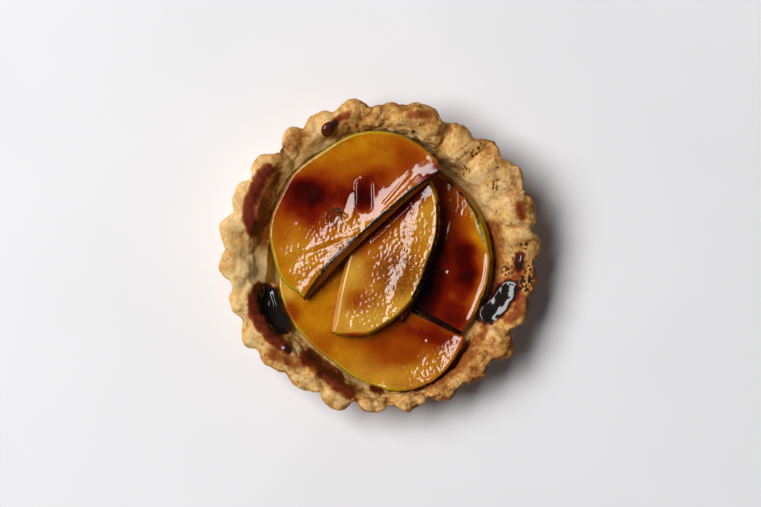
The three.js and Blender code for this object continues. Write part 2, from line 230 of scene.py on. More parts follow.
def makePastryMaterial():
    # Shortcrust, baked in a fluted pan: dry sandy crumb, cream where it is pale and brown at its edges,
    # with wet syrup set on it. The crumb is mottled at three sizes, and light sinks a little way in.
    finish = pastryFinish
    material, tree = newMaterial("shortcrustBakedGolden")
    place = addNode(tree, "TexCoord").outputs["Object"]
    patches = grain(tree, place, finish["patchSize"], 3.0, 0.6)
    crumb = grain(tree, place, finish["crumbSize"], 4.0, 0.66)
    sand = grain(tree, place, finish["sandSize"], 3.0, 0.6)
    # the browning mark also carries painted shade in creases and on inner slopes, and painted light on the
    # lamp's side
    brown = maths(tree, "ADD", readMark(tree, "browning"), spread(tree, patches, 0.3, 0.7, -0.18, 0.2))
    brown = maths(tree, "ADD", brown, spread(tree, crumb, 0.32, 0.68, -0.16, 0.2))
    pale = blendColours(tree, spread(tree, sand, 0.3, 0.7), *finish["pale"])
    sandy = spread(tree, sand, 0.35, 0.65)
    golden = blendColours(tree, sandy, *finish["golden"])
    toasted = blendColours(tree, sandy, *finish["toasted"])
    colour = blendColours(tree, spread(tree, brown, 0.0, 0.5), pale, golden)
    colour = blendColours(tree, spread(tree, brown, 0.48, 1.0), colour, toasted)

    # the syrup mark also carries painted shade beside the fruit, darkened through the same tones
    syrup = readMark(tree, "syrup")
    sinking = spread(tree, crumb, 0.32, 0.68, -0.14, 0.1)  # a thin film sinks into the crumb unevenly
    sinking = maths(tree, "ADD", sinking, spread(tree, sand, 0.3, 0.7, -0.06, 0.05), clamp=False)
    sinking = maths(tree, "MULTIPLY", sinking, spread(tree, syrup, 0.5, 0.85, 1.0, 0.1), clamp=False)
    depth = maths(tree, "MULTIPLY", maths(tree, "ADD", syrup, sinking), spread(tree, syrup, 0.0, 0.15))
    colour = syrupAndShadeOver(tree, colour, depth, finish["syrup"])
    colour = blendColours(tree, readMark(tree, "char"), colour, finish["char"])

    filled = spread(tree, syrup, 0.3, 0.7, 1.0, 0.04)  # the syrup levels the crumb's grain
    height = maths(tree, "MULTIPLY", maths(tree, "ADD", crumb, sand), filled)
    bump = addNode(tree, "Bump", {"Height": height, "Strength": 0.6, "Distance": 0.3 * mm})
    shader = addNode(tree, "BsdfPrincipled", {
        "Base Color": colour, "Roughness": finish["roughness"], "Normal": bump.outputs["Normal"],
        "Coat Weight": spread(tree, depth, 0.4, 0.95), "Coat Roughness": finish["wetRoughness"],
        "Subsurface Weight": 0.2, "Subsurface Radius": [way * mm for way in finish["lightSinks"]],
        "Subsurface Scale": 1.0, "Specular IOR Level": 0.16})
    addNode(tree, "OutputMaterial", {"Surface": shader.outputs[0]})
    return material


fruitFinish = {
    "cloudSize": 7.0,  # mm
    "fleckSize": 1.3,
    "speckleSize": 0.5,
    "flesh": ("#AA5E04", "#C07A0A"),
    "flecks": "#D29A22",
    "pale": "#D9A63C",
    "rind": "#AE920C",
    "syrup": ("#9E4806", "#7A1A04", "#480502", "#160706"),  # from a thin film to a deep one; the deep tones also paint the shadows cast by the slices above
    "pimples": "#8C3A0A",
    "singed": "#4A1C10",
    "char": "#110E0E",
    "roughness": 0.07,
    "rindRoughness": 0.2,
    "charRoughness": 0.3,
    "lightSinks": (2.0, 0.7, 0.15),  # mm, for red, green and blue
}


def makeFruitMaterial():
    # Roasted persimmon flesh under a wet syrup glaze: deep and saturated, glowing where it is thin, with
    # crisp highlights that break into sparkles where the flesh is pimply.
    finish = fruitFinish
    material, tree = newMaterial("persimmonRoastedGlazed")
    place = addNode(tree, "TexCoord").outputs["Object"]
    cloud = grain(tree, place, finish["cloudSize"], 3.0, 0.55)
    fleck = grain(tree, place, finish["fleckSize"], 3.0, 0.6)
    speckle = grain(tree, place, finish["speckleSize"], 2.0, 0.6)
    flesh = blendColours(tree, spread(tree, cloud, 0.35, 0.65), *finish["flesh"])
    flesh = blendColours(tree, spread(tree, fleck, 0.5, 0.78, 0.0, 0.4), flesh, finish["flecks"])
    flesh = blendColours(tree, readMark(tree, "pale"), flesh, finish["pale"])
    flesh = blendColours(tree, readMark(tree, "skin"), flesh, finish["rind"])
    uneven = spread(tree, cloud, 0.3, 0.7, 0.85, 1.15)
    # the syrup mark also carries painted shadows, where a slice lies in the shadow of the one above
    depth = maths(tree, "MULTIPLY", uneven, readMark(tree, "syrup"))
    flesh = syrupAndShadeOver(tree, flesh, depth, finish["syrup"])

    pimply = readMark(tree, "pimply")
    pimples = maths(tree, "MULTIPLY", spread(tree, speckle, 0.42, 0.62), maths(tree, "MULTIPLY", pimply, 0.3))
    flesh = blendColours(tree, pimples, flesh, finish["pimples"])
    singed = maths(tree, "MULTIPLY", readMark(tree, "singe"), spread(tree, speckle, 0.4, 0.6))
    flesh = blendColours(tree, singed, flesh, finish["singed"])
    char = readMark(tree, "char")
    flesh = blendColours(tree, char, flesh, finish["char"])

    bump = addNode(tree, "Bump", {"Height": maths(tree, "MULTIPLY", speckle, pimply), "Strength": 0.25,
                                  "Distance": 0.2 * mm})
    rough = spread(tree, readMark(tree, "skin"), 0.0, 0.6, finish["roughness"], finish["rindRoughness"])
    rough = maths(tree, "MAXIMUM", rough, maths(tree, "MULTIPLY", char, finish["charRoughness"]))
    shader = addNode(tree, "BsdfPrincipled", {
        "Base Color": flesh, "Roughness": rough, "IOR": 1.5, "Normal": bump.outputs["Normal"],
        "Subsurface Weight": 0.22, "Subsurface Radius": [way * mm for way in finish["lightSinks"]],
        "Subsurface Scale": 1.0})
    addNode(tree, "OutputMaterial", {"Surface": shader.outputs[0]})
    return material


syrupFinish = {"cloudSize": 4.0, "tones": ("#170807", "#2B0F0A"), "roughness": 0.08}


def makeSyrupMaterial():
    # Caramelised fruit syrup, set thick: almost black, mirror smooth, red only where it is thin.
    material, tree = newMaterial("syrupSetDark")
    place = addNode(tree, "TexCoord").outputs["Object"]
    cloud = grain(tree, place, syrupFinish["cloudSize"], 2.0, 0.5)
    colour = blendColours(tree, spread(tree, cloud, 0.35, 0.7), *syrupFinish["tones"])
    shader = addNode(tree, "BsdfPrincipled", {"Base Color": colour, "Roughness": syrupFinish["roughness"],
                                              "IOR": 1.48})
    addNode(tree, "OutputMaterial", {"Surface": shader.outputs[0]})
    return material


# the pastry shell

shellMarks = {
    # syrup marks; several of them also paint shade beside the fruit, as noted below
    "syrup": [  # path in mm, width, depth of colour, softness of its edge
        ([(-40.2, 31.8), (-43.8, 27.0), (-46.8, 20.6), (-47.4, 15.1), (-46.0, 9.8)], 4.4, 0.6, 2.0),
        # painted shade as well as syrup: the shaded band between the smear and the top slice
        ([(-38.6, 29.5), (-41.8, 23.0), (-43.2, 15.0), (-42.6, 7.0)], 6.6, 0.36, 4.2),
        ([(-37.0, 36.0), (-34.0, 39.6), (-28.4, 42.8)], 5.6, 0.22, 4.0),
        ([(-44.2, -11.0), (-45.4, -14.8), (-45.6, -18.8), (-43.6, -23.0), (-40.3, -27.0),
          (-36.2, -30.6), (-34.2, -32.0)], 4.4, 0.6, 1.6),
        # a pool of syrup whose near-black is partly painted shade on the inner wall
        ([(-40.8, -13.4), (-39.8, -18.2), (-36.4, -24.0)], 7.6, 1.0, 1.4),
        ([(-39.0, -34.0), (-34.6, -36.2), (-30.0, -37.6)], 4.0, 0.34, 3.0),
        # this smear and the band after it paint shade along the fruit's edge as well as syrup
        ([(-27.5, -35.4), (-23.5, -38.6), (-19.5, -42.0), (-16.0, -44.8), (-11.6, -48.0)], 4.4, 0.56,
          2.2),
        ([(-26.0, -34.4), (-20.6, -39.2), (-15.5, -43.0)], 3.6, 0.5, 2.0),
        ([(-4.2, -46.6), (-0.6, -48.2)], 1.6, 0.6, 0.8),
        ([(48.4, 1.0), (48.6, -3.6)], 3.4, 0.6, 1.2),
        ([(48.6, -4.0), (47.6, -9.0), (48.4, -14.5), (47.6, -19.6), (45.4, -21.8)], 4.0, 0.46, 2.4),
        ([(37.6, -20.0), (42.0, -16.2), (45.0, -11.4)], 7.4, 1.0, 1.4),
        # painted shade as well as syrup, in the shadow along the right slice's outer edge
        ([(36.4, -26.0), (39.6, -16.0), (41.2, -6.0), (41.2, 4.0), (39.4, 12.0)], 3.6, 0.36, 3.2),
        # painted shade as well as syrup, along the bottom slice's outer edge
        ([(34.4, -29.0), (29.0, -36.6), (22.0, -43.0), (12.0, -46.8)], 4.4, 0.34, 3.0),
        ([(48.2, 19.0), (49.0, 14.6)], 2.6, 0.46, 2.0),
        ([(45.4, 24.6), (49.4, 13.0)], 5.0, 0.16, 3.0),
        ([(10.2, 50.6), (16.0, 50.4)], 3.2, 0.42, 2.4),
        ([(-17.6, 47.6), (-15.6, 49.0), (-12.4, 50.6)], 2.4, 0.5, 1.6),
    ],
    "beads": [  # middle, half length, half width, turn, rise
        (-19.3, 45.7, 2.9, 2.2, 50, 0.9), (-17.2, 47.6, 2.0, 1.1, 40, 0.3),
        (-34.0, -31.9, 1.9, 1.6, -40, 0.7), (48.5, -1.2, 3.0, 1.5, 85, 0.5),
    ],
    "pools": [  # level at a distance towards a bearing, and how it climbs before and beyond that
        {
            "path": [(37.8, -19.8), (42.2, -16.0), (45.2, -11.4)],
            "width": 8.4,
            "towards": -20,
            "from": 45.0,
            "level": 12.0,
            "before": 0.12,
            "beyond": 0.32,
            "wave": 0.75,
            "waveSize": 3.6,
        },
        {
            "path": [(-40.6, -12.6), (-39.6, -18.0), (-36.2, -24.6)],
            "width": 8.8,
            "towards": 207,
            "from": 43.0,
            "level": 9.0,
            "before": 0.0,
            "beyond": 0.12,
            "wave": 0.1,
            "waveSize": 5.0,
            "meniscus": [(-38.9, -13.0), (-37.6, -17.4)],
        },
    ],
    "shelves": [  # where the wall's inner side is thick and slopes gently, given as the pools are
        {
            "path": [(-42.6, 9.0), (-44.0, 1.0), (-44.2, -5.0)],
            "width": 9.0,
            "towards": 182,
            "from": 41.0,
            "level": 11.2,
            "before": 0.5,
            "beyond": 0.5,
            "wave": 0.8,
            "waveSize": 5.0,
        },
        {
            "path": [(-33.5, 32.5), (-27.0, 38.5), (-18.0, 43.4)],
            "width": 8.0,
            "towards": 122,
            "from": 43.0,
            "level": 12.0,
            "before": 0.5,
            "beyond": 0.5,
            "wave": 0.8,
            "waveSize": 5.0,
        },
    ],
    "crags": [  # middle x, y, spread, share of crumbling within the rounded roll
        (46.0, 29.5, 4.2, 0.6), (13.0, 50.0, 6.0, 0.5), (48.5, 8.0, 5.0, 0.5), (20.0, 44.0, 4.0, 0.4),
        (39.0, 41.5, 3.0, 0.4),
    ],
    "char": [  # middle x, y, spread, share covered
        (50.6, -8.5, 4.4, 0.5), (44.8, -4.8, 2.4, 0.42), (52.2, -4.0, 1.6, 0.4), (33.4, 37.8, 3.4, 0.3),
        (39.6, 26.6, 3.0, 0.28), (38.0, 34.5, 3.0, 0.16), (29.4, 31.6, 1.6, 0.3),
        (10.8, 44.9, 0.7, 1.0), (51.0, 4.0, 2.4, 0.2),
    ],
    # browning patches; several of them also paint shade, and one paints light, as noted below
    "brown": [  # middle x, y, half width, half height, turn, how much
        (14.0, 50.8, 7.0, 4.6, 0, 0.28), (20.4, 39.0, 2.6, 6.0, -20, 0.3),
        (1.0, 51.0, 10.0, 5.0, 0, 0.34), (-9.0, 51.0, 8.0, 5.0, 0, 0.3),
        # (-29, 42.6) is partly painted shade, on the shaded inner slope beside the notch
        (-22.0, 53.0, 6.0, 2.6, 20, 0.2), (-29.0, 42.6, 5.0, 5.0, 0, 0.34),
        (-12.0, 45.4, 9.0, 2.8, 10, 0.24), (-37.0, 33.0, 4.0, 4.0, 0, 0.22),
        # these two are partly painted shade, on the shaded inner side of the left lobes
        (-50.0, 4.0, 6.0, 5.0, 0, 0.26), (-43.4, 8.0, 3.4, 5.0, 0, 0.24),
        # (-44, -5), with a negative amount, is painted light on a shaded inner slope
        (-44.0, -5.0, 5.0, 5.0, 0, -0.4), (-38.0, -34.6, 5.0, 4.0, -30, 0.4),
        (-26.0, -42.0, 8.0, 4.0, -30, 0.14), (-12.0, -50.0, 6.0, 4.0, 0, 0.2),
        (6.0, -50.5, 10.0, 4.6, 0, 0.22), (21.4, -48.4, 5.0, 4.0, 0, 0.34),
        # (27, -41) is partly painted shadow, beside the bottom slice
        (27.0, -41.0, 6.0, 3.4, 35, 0.36), (33.4, -42.0, 3.4, 4.0, 0, 0.34),
        (44.8, -32.0, 3.4, 6.0, -20, 0.3), (39.0, -33.0, 6.0, 6.0, 0, 0.3),
        (51.6, -18.6, 3.6, 4.4, 0, 0.42), (50.4, -7.0, 5.0, 8.0, 0, 0.4),
        (42.0, 2.0, 2.6, 12.0, 5, 0.34), (51.4, 4.6, 4.0, 3.0, 0, 0.24),
        (52.6, 18.0, 2.4, 4.0, 0, 0.36), (45.0, 30.0, 5.0, 3.6, 0, 0.2),
        (37.0, 39.4, 6.4, 3.4, -20, 0.42), (24.4, 46.6, 5.0, 4.0, 0, 0.22),
        # (30, 30.6) is painted shade, on the inner wall shaded by the top slice
        (39.4, 26.4, 3.6, 3.0, 0, 0.16), (30.0, 30.6, 3.0, 3.0, 0, 0.2),
        (44.0, -24.0, 5.0, 5.0, 0, 0.2), (31.0, -45.0, 6.0, 4.0, 0, 0.2),
    ],
}
shellSkin = {
    "voxel": 0.42,
    "softening": 3,
    "mostTriangles": 197000,
    "smoothAt": 154,  # the bearing where the pan has left the lobes smooth, and how far round
    "smoothOver": 60,
    "smooth": 0.85,
    "doughyAt": 34,  # the bearing where the slumped roll is soft and rounded
    "doughyOver": 30,
    "doughy": 0.75,
    "largeClods": 6.4,  # mm across
    "smallClods": 3.4,
    "smallRise": 0.85,  # how high the small ones stand beside the large
    "patches": 9.0,  # mm across, of more and less crumbled stretches
    "doughWaves": 4.0,
    "doughRise": 0.5,
    "coarseCrumb": 1.7,
    "fineCrumb": 0.95,
    "film": 0.12,  # how thick the syrup lies
    "poolEdge": 1.2,  # how wide a pool's edge fades
    "poolSinks": 1.0,  # how far a pool may lie below the crust
    "shelfEdge": 2.0,
}


def bearingOf(plan):
    return np.degrees(np.arctan2(plan[:, 1], plan[:, 0])) % 360


def bell(bearing, middle, spreadOver):
    apart = (bearing - middle + 180) % 360 - 180
    return np.exp(-(apart / spreadOver) ** 2)


def clods(places, size, seed, softness):
    # rounded clods of one size with soft creases between them, from about -0.4 to 1
    return 2 * np.sqrt(perlin(places, size, seed) ** 2 + softness ** 2) - 0.4 - softness


def fillUp(places, normals, plan, fill, edge, sinks):
    # raises the shell to the surface of a pool or shelf, and sinks it by no more than this
    bearing = math.radians(fill["towards"])
    past = places[:, 0] * math.cos(bearing) + places[:, 1] * math.sin(bearing) - fill["from"]
    surface = fill["level"] + np.where(past > 0, fill["beyond"] * past, fill["before"] * past)
    surface += fill["wave"] * perlin(places * [1, 1, 0], fill["waveSize"], 9)
    if "meniscus" in fill:
        surface += 0.5 * np.exp(-(distanceToPath(places[:, :2], fill["meniscus"]) / 0.9) ** 2)
    inside = 1 - ease(distanceToPath(plan, fill["path"]), fill["width"] / 2 - edge, fill["width"] / 2)
    lift = np.maximum(-sinks, surface - places[:, 2])
    places[:, 2] += inside * lift * ease(normals[:, 2], 0, 0.4)


def syrupAndShadeOnShell(places, normals):
    plan = places[:, :2]
    ragged = 0.8 * perlin(places, 2.8, 3) + 0.3 * perlin(places, 1.1, 23)
    clear = np.ones(len(places))
    for path, width, depth, soft in shellMarks["syrup"]:
        away = distanceToPath(plan, path) + ragged
        clear *= 1 - depth * (1 - ease(away, width / 2 - soft / 2, width / 2 + soft / 2))
    for x, y, wide, tall, turn, rise in shellMarks["beads"]:
        clear *= 1 - 0.76 * (1 - ease(blob(plan, x, y, wide, tall, turn), 0.75, 1.05))
    return (1 - clear) * ease(normals[:, 2], -0.3, 0.1) * ease(places[:, 2], 4, 5)


def shellZones(places, normals):
    # where the shell is smooth, loose or crumbled
    plan, height = places[:, :2], places[:, 2]
    reach = np.hypot(plan[:, 0], plan[:, 1])
    bearing = bearingOf(plan)
    outwards = (normals[:, :2] * plan).sum(1) / np.maximum(reach, 1)
    craggy = 1 - shellSkin["smooth"] * bell(bearing, shellSkin["smoothAt"], shellSkin["smoothOver"])
    doughy = shellSkin["doughy"] * bell(bearing, shellSkin["doughyAt"], shellSkin["doughyOver"])
    for x, y, wide, share in shellMarks["crags"]:
        doughy *= 1 - share * np.exp(-blob(plan, x, y, wide) ** 2)
    return {
        "outwards": outwards,
        "panSide": ease(outwards, 0.45, 0.8) * (1 - ease(height, 13, 16)),  # pressed smooth by the pan
        "loose": ease(height, 5.2, 7.0) * ease(reach, 36, 40),  # crumbly everywhere else
        "under": ease(-normals[:, 2], 0.5, 0.9),
        "craggy": craggy,
        "crumbled": craggy * (1 - doughy),
    }


def crumbRelief(places, crumbled):
    skin = shellSkin
    patchy = ease(perlin(places, skin["patches"], 31), -0.25, 0.35)
    coarse = clods(places, skin["largeClods"], 1, 0.05)
    coarse += skin["smallRise"] * clods(places, skin["smallClods"], 2, 0.04) * (0.35 + 0.65 * patchy)
    relief = crumbled * coarse + (1 - crumbled) * skin["doughRise"] * perlin(places, skin["doughWaves"], 1)
    relief += (0.12 + 0.24 * patchy * crumbled) * perlin(places, skin["coarseCrumb"], 5)
    relief += (0.05 + 0.07 * crumbled) * perlin(places, skin["fineCrumb"], 4)
    return relief


def brownAndShadeShell(places, plan, height, relief, zones):
    # crests and outer edges bake first; the darkening in creases and low on the inner slopes is partly
    # painted shade, and the smooth lobes facing the lamp are kept paler, partly as painted light
    craggy, loose = zones["craggy"], zones["loose"]
    browning = 0.16 + 0.5 * zones["under"] + 0.2 * perlin(places, 8.0, 7) * loose
    browning += (0.08 + 0.26 * craggy) * ease(zones["outwards"], 0.2, 0.8)
    browning += 0.12 * (1 - ease(height, 9, 14)) * loose - 0.1 * (1 - craggy)
    crests, creaseShade = ease(relief, 0.5, 1.2), ease(-relief, 0.0, 0.5)
    browning += (0.12 * crests + 0.34 * creaseShade) * loose * (0.4 + 0.6 * craggy)
    for x, y, wide, tall, turn, more in shellMarks["brown"]:
        browning += more * np.exp(-blob(plan, x, y, wide, tall, turn) ** 2) * loose
    return browning


def charShell(places, plan, normals):
    # burnt specks, and the browning that surrounds them
    char = np.zeros(len(places))
    around = np.zeros(len(places))
    speck = perlin(places, 1.0, 8)
    for x, y, wide, share in shellMarks["char"]:
        near = np.exp(-blob(plan, x, y, wide) ** 2)
        char = np.maximum(char, ease(speck + near * (0.4 + share), 0.72, 0.84))
        around += 1.3 * share * near * ease(speck, -0.2, 0.3)
    return char * ease(normals[:, 2], 0, 0.3), around


def makeShell(material):
    piece = mergedCopy("tart_crust", "tartShell")
    refine(piece, shellSkin["voxel"], shellSkin["softening"])
    places, normals = readMesh(piece)
    plan, height = places[:, :2], places[:, 2]
    zones = shellZones(places, normals)
    syrup = syrupAndShadeOnShell(places, normals)
    film = np.clip(syrup * 1.6, 0, 1)
    relief = crumbRelief(places, zones["crumbled"])
    rough = zones["loose"] * (1 - zones["under"]) * (1 - 0.8 * zones["panSide"]) * (1 - 0.8 * film)
    shift = rough * relief + shellSkin["film"] * film + 0.06 * zones["panSide"] * perlin(places, 1.4, 6)
    for x, y, wide, tall, turn, rise in shellMarks["beads"]:
        away = np.clip(blob(plan, x, y, wide, tall, turn), 0, 1)
        shift += rise * np.sqrt(1 - away ** 2) * ease(normals[:, 2], 0, 0.5)
    places = places + normals * shift[:, None]
    for shelf in shellMarks["shelves"]:
        fillUp(places, normals, plan, shelf, shellSkin["shelfEdge"], 0.0)
    for pool in shellMarks["pools"]:
        fillUp(places, normals, plan, pool, shellSkin["poolEdge"], shellSkin["poolSinks"])

    browning = brownAndShadeShell(places, plan, height, relief, zones)
    char, around = charShell(places, plan, normals)
    writeMesh(piece, places, {"browning": browning + around, "syrup": syrup, "char": char})
    thinned = piece.modifiers.new("thinned", "DECIMATE")
    thinned.ratio = min(1.0, shellSkin["mostTriangles"] / (2 * len(piece.data.polygons)))
    applyModifiers(piece)
    finishPiece(piece, material, "pastry", "tart_crust")
    print("shell", len(piece.data.polygons), [a.name for a in piece.data.attributes])
    return piece


crumbScatter = {
    "count": 70,
    "smallest": 0.2,
    "largest": 0.55,
    "seed": 5,
    "innermost": 43.5,
    "stretch": (0.75, 1.25),
    "lumps": 0.3,
    "browning": 0.3,
}


def makeCrumbs(shell, material):
    # loose crumbs that broke off the rim and lie on it
    crumbs = crumbScatter
    draw = np.random.default_rng(crumbs["seed"])
    places, normals = readMesh(shell)
    syrup = np.zeros(len(places))
    shell.data.attributes["syrup"].data.foreach_get("value", syrup)
    reach = np.hypot(places[:, 0], places[:, 1])
    usual = (normals[:, 2] > 0.5) & (reach > crumbs["innermost"]) & (syrup < 0.05)
    smoothLobes = bell(bearingOf(places[:, :2]), shellSkin["smoothAt"], shellSkin["smoothOver"])
    free = np.nonzero(usual & (smoothLobes < 0.4))[0]
    work = bmesh.new()
    for spot in draw.choice(free, crumbs["count"], replace=False):
        share = draw.random() ** 2  # most are small
        radius = crumbs["smallest"] + (crumbs["largest"] - crumbs["smallest"]) * share
        made = bmesh.ops.create_icosphere(work, subdivisions=2, radius=radius * mm)
        stretch = Vector(draw.uniform(*crumbs["stretch"], 3).tolist())
        middle = Vector((places[spot] + normals[spot] * radius * 0.1).tolist())
        middle += Vector((*tartMiddle, 0))
        for vert in made["verts"]:
            lumpy = 1 + crumbs["lumps"] * noise.noise(vert.co / (radius * mm) * 1.3 + middle)
            vert.co = Vector(a * b * lumpy for a, b in zip(vert.co, stretch)) + middle * mm
    mesh = bpy.data.meshes.new("looseCrumbs")
    work.to_mesh(mesh)
    work.free()
    mark = mesh.attributes.new("browning", "FLOAT", "POINT")
    mark.data.foreach_set("value", np.full(len(mesh.vertices), crumbs["browning"], np.float32))
    mesh.shade_smooth()
    piece = bpy.data.objects.new("looseCrumbs", mesh)
    collection.objects.link(piece)
    finishPiece(piece, material, "pastry")
    print("crumbs", len(mesh.polygons))


# the fruit

